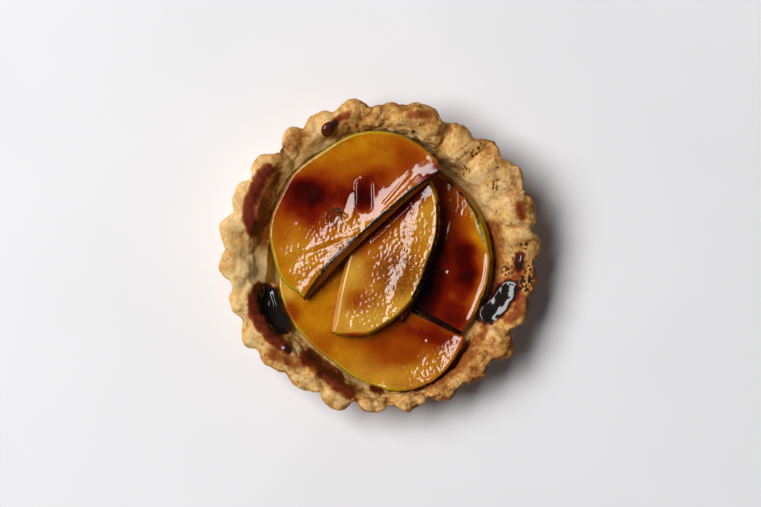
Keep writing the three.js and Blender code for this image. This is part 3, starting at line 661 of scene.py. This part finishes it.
plainSlice = {  # what a slice has where it says nothing else
    "cutFacing": 0,  # the way its cut side faces, in degrees anticlockwise from the right
    "cutStain": 0.0,  # how much syrup has soaked into the cut side
    "lip": 0.0,  # how high the glaze stands at the edge, in mm
    "grainStretch": 1.0,  # below 1 the pimples are longer from front to back
    # blobs: middle x, y, half width, half height, turn, strength
    "lipless": [],  # where the lip has run off
    "syrup": [],
    "pale": [],
    "char": [],  # as blobs, with the share of specks for a strength
    "singe": [],
    "pimples": [],
    "wideRind": [],
    "glazedRind": [],  # where the glaze hides the rind
    # along paths in mm
    "ridges": [],  # path, width, rise
    "tilts": [],  # path, width, fade, slope to the right, slope away
    "charLines": [],  # path, width
}
sliceMarks = {
    "persimmon_slice_top": {
        "cutFacing": -43,
        "cutStain": 0.3,
        "lip": 0.22,
        "grainStretch": 0.8,
        "lipless": [(-19.0, 0.0, 18.0, 8.0, 48, 1.0), (19.4, 31.0, 4.0, 4.0, 0, 1.0)],
        "syrup": [
            (-26.5, 21.8, 9.0, 7.4, 0, 0.72), (-27.0, 20.0, 14.0, 11.0, 0, 0.26),
            (-10.5, 22.4, 6.0, 5.0, 30, 0.5), (-6.5, 19.8, 3.4, 4.6, 10, 0.6),
            (-3.6, 26.2, 6.0, 4.4, 35, 0.34), (17.6, 29.8, 6.0, 3.2, 38, 0.6),
            (9.5, 37.0, 8.0, 4.4, -30, 0.3), (-12.0, 29.0, 15.0, 7.0, 15, 0.2),
            (4.0, 27.0, 12.0, 6.0, 38, 0.26), (-21.0, 12.0, 6.0, 3.6, 20, 0.22),
            (-37.0, 12.0, 3.0, 9.0, 0, 0.16),
        ],
        "pale": [(-30.0, 2.0, 5.0, 7.0, 20, 0.2), (14.0, 39.0, 7.0, 1.6, -45, 0.5)],
        "char": [(-15.3, 16.3, 2.6, 1.6, -38, 0.5)],
        "singe": [(-17.0, 14.5, 4.0, 3.2, 20, 0.9)],
        "pimples": [
            (-18.0, -1.0, 16.0, 4.5, 48, 1.0), (-20.0, 6.0, 11.0, 5.0, 45, 0.6),
            (-26.0, -3.0, 5.0, 8.0, -30, 0.5), (2.0, 37.0, 14.0, 4.0, 0, 0.25),
            (-17.0, 13.0, 5.0, 4.0, 0, 0.8), (-26.0, 6.0, 12.0, 8.0, 0, 0.25),
        ],
        "ridges": [
            ([(-27.7, 2.9), (-8.6, 9.8)], 0.7, 0.16),
            ([(-26.7, 1.3), (-8.0, 8.4)], 0.5, -0.2),
            ([(9.4, 29.8), (0.4, 19.2)], 0.7, 0.2),
            ([(12.8, 28.8), (2.0, 17.6)], 0.7, 0.16),
            ([(-22.1, 21.3), (-17.2, 17.7), (-13.0, 14.8)], 0.6, -0.4),
            ([(-9.0, 30.0), (-7.0, 25.0)], 0.6, -0.1),
        ],
        "tilts": [
            ([(-10.4, 21.4), (-11.4, 18.5), (-12.4, 15.0)], 3.0, 1.2, 0.2, -0.1),
            ([(-6.6, 25.5), (-6.4, 18.6)], 4.6, 1.2, -0.26, 0.0),
            ([(-25.0, -4.0), (-19.0, 4.5), (-10.5, 11.5)], 5.0, 4.0, -0.09, 0.04),
            ([(-26.5, -12.0), (-17.0, -1.0), (-8.5, 8.0)], 2.0, 3.0, -0.16, 0.06),
        ],
        "charLines": [
            ([(-27.7, -14.6), (-19.2, -2.0), (-12.6, 4.9), (-7.7, 8.2), (-3.7, 12.3), (4.5, 18.8),
              (11.0, 24.5), (20.8, 30.8)], 1.0),
            ([(-36.5, -7.5), (-34.0, -10.6), (-29.8, -12.8), (-27.6, -15.2)], 0.5),
        ],
    },
    "persimmon_slice_middle": {
        "cutFacing": 175,
        "lip": 0.1,
        "grainStretch": 0.9,
        "syrup": [
            (-14.0, -27.8, 8.0, 0.9, 5, 0.6), (-8.0, -15.2, 4.4, 3.8, 0, 0.28),
            # these two, beside the top slice's cut edge, also paint the shadow it casts
            (-1.0, 10.5, 14.0, 3.4, 41, 0.42), (11.0, 21.5, 8.0, 3.6, 44, 0.5),
            (2.0, -4.0, 9.0, 8.0, 0, 0.24),
        ],
        "pale": [
            (-10.5, -3.5, 4.6, 6.0, 0, 0.8), (-14.5, -13.0, 1.8, 12.0, -8, 0.5),
            (6.5, -17.5, 6.0, 4.0, 50, 0.6), (15.0, 14.0, 4.6, 10.0, 10, 0.4),
            (-7.0, -23.0, 9.0, 5.0, 0, 0.75), (0.0, -10.0, 14.0, 14.0, 0, 0.25),
        ],
        "char": [(-0.2, -3.2, 2.6, 1.2, -20, 0.34)],
        "singe": [(5.0, -5.0, 7.0, 8.0, 0, 0.7)],
        "pimples": [
            (9.0, 4.0, 11.0, 17.0, 0, 1.0), (-4.0, -18.0, 11.0, 9.0, 0, 1.0),
            (-6.0, -4.0, 7.0, 9.0, 0, 0.5),
        ],
        "ridges": [([(-10.2, 1.9), (-2.3, -1.7)], 0.7, -0.4), ([(9.4, 18.0), (-3.0, 6.0)], 0.8, 0.36)],
        "tilts": [([(15.6, 17.0), (14.4, 8.0), (12.0, -3.0), (7.0, -13.0)], 3.0, 5.0, -0.16, 0.06)],
        "charLines": [
            ([(-18.0, -26.6), (-16.6, -27.7), (-12.6, -28.4), (-6.1, -28.0)], 0.7),
            ([(19.8, 20.0), (19.6, 10.0), (18.0, 3.0), (15.0, -6.0), (11.0, -14.0)], 0.7),
        ],
    },
    "persimmon_slice_right": {
        "cutFacing": 240,
        "cutStain": 0.5,
        "lip": 0.16,
        "grainStretch": 0.45,
        "syrup": [
            # these two also paint the shadow that the raised middle slice casts on this one
            (14.0, -12.0, 6.4, 14.0, -16, 1.0), (18.0, -14.0, 8.0, 16.0, -30, 0.45),
            (30.0, -3.0, 5.4, 8.0, 8, 0.66), (27.5, 8.0, 3.6, 9.0, 12, 0.42),
            (25.5, -20.0, 7.0, 5.0, -35, 0.42), (22.0, 5.0, 4.6, 18.0, 0, 0.3),
            (18.5, 8.0, 4.0, 14.0, 0, 0.5), (26.0, 23.0, 6.0, 9.0, 30, 0.3),
            (29.5, -10.0, 3.4, 8.0, 0, 0.5), (26.0, -22.0, 5.0, 4.0, -30, 0.5),
        ],
        "pimples": [(25.0, 22.0, 7.0, 11.0, 30, 1.0), (22.0, 10.0, 3.0, 10.0, 0, 0.6)],
        "ridges": [
            ([(16.7, -4.3), (22.6, -4.8)], 0.7, -0.35),
            ([(38.4, 0.6), (36.6, -9.0), (31.4, -21.6)], 0.8, 0.3),
        ],
        "wideRind": [(33.0, 18.0, 9.0, 14.0, 32, 1.0)],
        "tilts": [([(23.2, 12.4), (21.8, 5.6), (20.0, 1.2)], 2.2, 1.2, 0.14, -0.05)],
        "charLines": [
            ([(23.2, 27.6), (29.4, 21.8), (33.4, 15.8), (36.4, 5.6)], 0.4),
            ([(38.9, -1.0), (37.4, -10.0), (34.6, -17.0)], 0.4),
        ],
    },
    "persimmon_slice_bottom": {
        "cutFacing": 62,
        "cutStain": 0.3,
        "lip": 0.16,
        "grainStretch": 0.8,
        "syrup": [
            (3.0, -33.5, 9.0, 5.6, 10, 0.34), (20.5, -27.5, 9.0, 4.4, -15, 0.4),
            # the first here, at (2.5, -25.5), also paints the shadow under the middle slice's lower edge
            (2.5, -25.5, 6.0, 4.6, 0, 0.34), (-32.4, -19.4, 2.8, 3.6, 30, 0.34),
            (-22.0, -31.5, 5.0, 3.2, -40, 0.2), (13.0, -24.0, 12.0, 5.5, -30, 0.34),
            (-7.0, -30.0, 9.0, 2.6, 0, 0.2), (14.0, -33.0, 8.0, 4.0, 20, 0.2),
            (-3.0, -13.0, 7.0, 5.0, -40, 0.34),
        ],
        "pale": [(-34.0, -10.8, 3.2, 4.0, 0, 0.8), (2.0, -41.0, 16.0, 6.0, 0, 0.34)],
        "pimples": [
            (18.0, -36.0, 12.0, 5.0, 35, 1.0), (16.0, -41.0, 15.0, 4.0, 35, 1.0),
            (-17.0, -6.0, 5.0, 5.0, 0, 1.0), (-13.0, -20.0, 6.0, 7.0, 0, 0.6),
            (0.0, -38.0, 16.0, 6.0, 0, 0.4), (-24.0, -22.0, 10.0, 8.0, 0, 0.25),
        ],
        "ridges": [
            ([(-26.5, -14.2), (-15.5, -13.0)], 0.9, 0.3),
            ([(9.0, -23.2), (15.0, -29.4)], 0.8, -0.4),
            ([(3.0, -47.8), (14.1, -46.6), (21.8, -43.0), (26.6, -37.4), (29.8, -29.6)], 3.0, 0.95),
        ],
        "glazedRind": [(22.0, -42.0, 18.0, 10.0, 40, 0.75)],
    },
    "persimmon_slice_sliver": {
        "cutFacing": 190,
        "cutStain": 0.5,
        "syrup": [(14.0, -8.0, 9.0, 20.0, 0, 0.9)],
        "charLines": [
            ([(6.4, -23.7), (11.0, -17.6), (14.6, -10.6), (17.9, -1.2), (20.2, 6.1), (21.0, 12.0)], 1.0),
        ],
    },
}
sliceSkin = {
    "voxel": 0.27,
    "softening": 4,
    "broadSoftening": 40,
    "rindWidth": (0.2, 0.8),  # mm from the edge, where the rind begins to end and has ended
    "wideRind": 1.3,
    "lipWidth": 1.2,
    "film": 0.06,  # how thick the deepest syrup lies
    "waves": (6.0, 0.24),  # mm across and high
    "pimples": ((1.05, 0.18, 15), (2.2, 0.08, 16)),  # mm across and high, seed
    "fewPimples": 0.06,  # how pimply the smooth flesh is
}


def nearestEdge(places, normals):
    # how far inside the nearest edge a vertex of the upper side lies, and which way that edge faces
    sides = np.nonzero(np.abs(normals[:, 2]) < 0.75)[0]
    tree = kdtree.KDTree(len(sides))
    for index in sides.tolist():
        tree.insert((*places[index, :2].tolist(), 0), index)
    tree.balance()
    away = np.zeros(len(places))
    edge = np.arange(len(places))
    for index in np.nonzero(normals[:, 2] >= 0.75)[0].tolist():
        _, edge[index], away[index] = tree.find((*places[index, :2].tolist(), 0))
    return away, normals[edge]


def softenTop(piece, rounds):
    # the upper side is eased inside its edges, so that it reflects as one bent surface
    places, normals = readMesh(piece)
    group = piece.vertex_groups.new(name="broad")
    broad = ease(normals[:, 2], 0.85, 0.95) * ease(nearestEdge(places, normals)[0], 0.5, 1.6)
    mostSteps = 8
    steps = (broad * mostSteps).astype(int)
    for step in range(1, mostSteps + 1):
        group.add(np.nonzero(steps == step)[0].tolist(), step / mostSteps, "REPLACE")
    smooth = piece.modifiers.new("broadSoftened", "SMOOTH")
    smooth.factor = 0.8
    smooth.iterations = rounds
    smooth.vertex_group = "broad"
    applyModifiers(piece)


def gatherBlobs(places, blobs, soft):
    clear = np.ones(len(places))
    wobble = 0.16 * perlin(places, 4.5, 11)  # no outline is a clean ellipse
    for x, y, wide, tall, turn, strength in blobs:
        away = blob(places[:, :2], x, y, wide, tall, turn) + wobble
        clear *= 1 - strength * (1 - ease(away, 1 - soft, 1 + soft))
    return 1 - clear


def charOnSlice(places, marks, singe):
    plan = places[:, :2]
    speck = perlin(places, 0.9, 12)
    char = 0.7 * singe * ease(speck, 0.3, 0.42)
    for x, y, wide, tall, turn, share in marks["char"]:
        near = np.exp(-blob(plan, x, y, wide, tall, turn) ** 2)
        char = np.maximum(char, ease(speck + near * (0.4 + share), 0.75, 0.9))
    for path, width in marks["charLines"]:
        away = distanceToPath(plan, path) + 0.5 * perlin(places, 1.3, 13)
        char = np.maximum(char, 1 - ease(away, width / 2 - 0.1, width / 2 + 0.35))
    return char


def sliceEdges(places, normals, marks):
    # how far in from an edge each vertex lies, and how much it is rind, or of the cut side
    away, edge = nearestEdge(places, normals)
    edge /= np.maximum(np.linalg.norm(edge[:, :2], axis=1), 0.05)[:, None]
    facing = math.radians(marks["cutFacing"])
    towardsCut = ease(edge[:, 0] * math.cos(facing) + edge[:, 1] * math.sin(facing), 0.45, 0.7)
    side = ease(np.linalg.norm(normals[:, :2], axis=1), 0.3, 0.6)
    wideRind = sliceSkin["wideRind"] * gatherBlobs(places, marks["wideRind"], 0.3)
    rim = np.maximum(side, 1 - ease(away - wideRind, *sliceSkin["rindWidth"]))
    rind = rim * (1 - towardsCut) * ease(normals[:, 2], -0.4, 0.0)
    rind *= 1 - gatherBlobs(places, marks["glazedRind"], 0.3)
    return away, rind, side * towardsCut


def glazeRelief(places, away, syrup, pimply, marks):
    plan = places[:, :2]
    waveSize, waveHeight = sliceSkin["waves"]
    stretched = places * [1, marks["grainStretch"], 1]
    pimples = sum(high * perlin(stretched, wide, seed) for wide, high, seed in sliceSkin["pimples"])
    relief = waveHeight * perlin(places, waveSize, 14) + pimply * pimples
    for path, width, fade, slopeX, slopeY in marks["tilts"]:
        offset = offsetFromPath(plan, path)
        inside = 1 - ease(np.linalg.norm(offset, axis=1), width / 2, width / 2 + fade)
        relief += (slopeX * offset[:, 0] + slopeY * offset[:, 1]) * inside
    lip = marks["lip"] * (1 - gatherBlobs(places, marks["lipless"], 0.3))
    relief += sliceSkin["film"] * syrup + lip * np.exp(-(away / sliceSkin["lipWidth"]) ** 2)
    for path, width, rise in marks["ridges"]:
        relief += rise * np.exp(-(distanceToPath(plan, path) / width) ** 2)
    return relief


def makeSlice(nodeName, material):
    marks = {**plainSlice, **sliceMarks[nodeName]}
    name = "".join(part.capitalize() for part in nodeName.split("_"))
    piece = mergedCopy(nodeName, name[0].lower() + name[1:])
    refine(piece, sliceSkin["voxel"], sliceSkin["softening"])
    softenTop(piece, sliceSkin["broadSoftening"])
    places, normals = readMesh(piece)
    up = ease(normals[:, 2], 0.1, 0.7)
    away, rind, cutSide = sliceEdges(places, normals, marks)
    syrup = gatherBlobs(places, marks["syrup"], 0.75)
    pale = gatherBlobs(places, marks["pale"], 0.6)
    singe = gatherBlobs(places, marks["singe"], 0.5)
    stain = marks["cutStain"] * cutSide * np.clip(0.9 + 0.5 * perlin(places, 2.6, 18), 0, 1)
    char = charOnSlice(places, marks, singe)
    calm = 1 - ease(syrup, 0.35, 0.75)  # deep syrup lies level over the pimples
    pimply = np.clip(sliceSkin["fewPimples"] + gatherBlobs(places, marks["pimples"], 0.6), 0, 1)
    pimply *= 0.1 + 0.9 * calm
    relief = glazeRelief(places, away, syrup, pimply, marks)
    shift = up * relief + (1 - up) * 0.1 * perlin(places, 1.5, 17)
    writeMesh(piece, places + normals * shift[:, None], {
        "syrup": np.maximum(syrup * up, stain), "pale": pale * up, "skin": rind,
        "singe": singe * up, "char": char, "pimply": pimply * up})
    finishPiece(piece, material, "persimmon", nodeName)
    print("slice", nodeName, len(piece.data.polygons))


# the syrup in the seam between two slices

seamPool = {
    "middle": (19.4, -21.5),
    "size": (10.8, 2.0),  # half length and half width
    "level": 8.9,
    "towards": 148,
    "thickness": 0.8,
    "droop": 0.8,  # how far its ends lie lower
    "ripple": (4.0, 0.15),  # mm across and high
}


def makeSeamPool(material):
    pool = seamPool
    mesh = bpy.data.meshes.new("syrupPoolSeam")
    work = bmesh.new()
    bmesh.ops.create_grid(work, x_segments=60, y_segments=40, size=1)
    outside = [v for v in work.verts if abs(v.co.x) ** 4 + v.co.y ** 2 > 1]
    bmesh.ops.delete(work, geom=outside, context="VERTS")
    turn = math.radians(pool["towards"])
    along = Vector((math.cos(turn), math.sin(turn), 0))
    across = Vector((-along.y, along.x, 0))
    middle = Vector((*pool["middle"], 0)) + Vector((*tartMiddle, 0))
    rippleSize, rippleHeight = pool["ripple"]
    for vert in work.verts:
        u, v = vert.co.x * pool["size"][0], vert.co.y * pool["size"][1]
        ripple = rippleHeight * noise.noise(Vector((u / rippleSize, v / rippleSize, 1)))
        level = pool["level"] + ripple - pool["droop"] * abs(vert.co.x) ** 3
        vert.co = (middle + along * u + across * v + Vector((0, 0, level))) * mm
    bmesh.ops.solidify(work, geom=work.faces[:], thickness=pool["thickness"] * mm)
    bmesh.ops.recalc_face_normals(work, faces=work.faces[:])
    work.to_mesh(mesh)
    work.free()
    mesh.shade_smooth()
    piece = bpy.data.objects.new("syrupPoolSeam", mesh)
    collection.objects.link(piece)
    finishPiece(piece, material, "syrup")
    print("seam pool", len(mesh.polygons))


# stage, light and camera

studio = {
    "keyFrom": 160,  # degrees anticlockwise from the right, as seen from above
    "keyTilt": 38,  # degrees off straight overhead
    "keyDistance": 2.2,
    "keySize": (1.7, 1.1),  # across and up, as a wide window
    "keyPower": 62,
    "keyColour": (1.0, 0.992, 0.98),
    "roomWalls": 0.1,
    "roomCeiling": 0.02,
    "floorHalf": 3,  # m
    "floorTones": ("#EBEBEE", "#EFEFF2"),
    "floorPatch": 60.0,  # mm
    "lens": 100,
    "cameraHeight": 0.767,
    "cameraPlace": (0.000242, 0.001032),
}


def makeStage():
    # Heavy pale paper, matt, hardly uneven in tone.
    material, tree = newMaterial("paperPaleMatt")
    place = addNode(tree, "TexCoord").outputs["Object"]
    tone = grain(tree, place, studio["floorPatch"], 2.0, 0.5)
    colour = blendColours(tree, spread(tree, tone, 0.3, 0.7), *studio["floorTones"])
    shader = addNode(tree, "BsdfPrincipled", {"Base Color": colour, "Roughness": 0.95,
                                              "Specular IOR Level": 0.1})
    addNode(tree, "OutputMaterial", {"Surface": shader.outputs[0]})
    work = bmesh.new()
    bmesh.ops.create_grid(work, x_segments=1, y_segments=1, size=studio["floorHalf"])
    mesh = bpy.data.meshes.new("floor")
    work.to_mesh(mesh)
    work.free()
    mesh.materials.append(material)
    floor = bpy.data.objects.new("floor", mesh)
    collection.objects.link(floor)


def makeLight():
    lamp = bpy.data.lights.new("windowLight", "AREA")
    lamp.shape = "RECTANGLE"
    lamp.size, lamp.size_y = studio["keySize"]
    lamp.energy = studio["keyPower"]
    lamp.color = studio["keyColour"]
    key = bpy.data.objects.new("windowLight", lamp)
    tilt, turn = math.radians(studio["keyTilt"]), math.radians(studio["keyFrom"])
    direction = Vector((math.sin(tilt) * math.cos(turn), math.sin(tilt) * math.sin(turn), math.cos(tilt)))
    key.location = direction * studio["keyDistance"]
    key.rotation_euler = direction.to_track_quat("Z", "Y").to_euler()
    collection.objects.link(key)

    world = bpy.data.worlds.new("studioRoom")
    world.use_nodes = True
    tree = world.node_tree
    tree.nodes.clear()
    height = addNode(tree, "SeparateXYZ", {0: addNode(tree, "TexCoord").outputs["Generated"]}).outputs[2]
    shade = spread(tree, height, 0.55, 0.92, studio["roomWalls"], studio["roomCeiling"])
    colour = addNode(tree, "CombineColor", {0: shade, 1: shade, 2: shade}).outputs[0]
    background = addNode(tree, "Background", {"Color": colour, "Strength": 1.0})
    addNode(tree, "OutputWorld", {"Surface": background.outputs[0]})
    bpy.context.scene.world = world


def makeCamera():
    camera = bpy.data.cameras.new("overheadCamera")
    camera.lens = studio["lens"]
    camera.clip_end = 20
    eye = bpy.data.objects.new("overheadCamera", camera)
    eye.location = (*studio["cameraPlace"], studio["cameraHeight"])
    collection.objects.link(eye)
    bpy.context.scene.camera = eye


makeCamera()
makeStage()
makeLight()
bpy.context.scene.view_settings.view_transform = "Standard"
pastryMaterial = makePastryMaterial()
tartShell = makeShell(pastryMaterial)
makeCrumbs(tartShell, pastryMaterial)
fruitMaterial = makeFruitMaterial()
for nodeName in sliceMarks:
    makeSlice(nodeName, fruitMaterial)
makeSeamPool(makeSyrupMaterial())
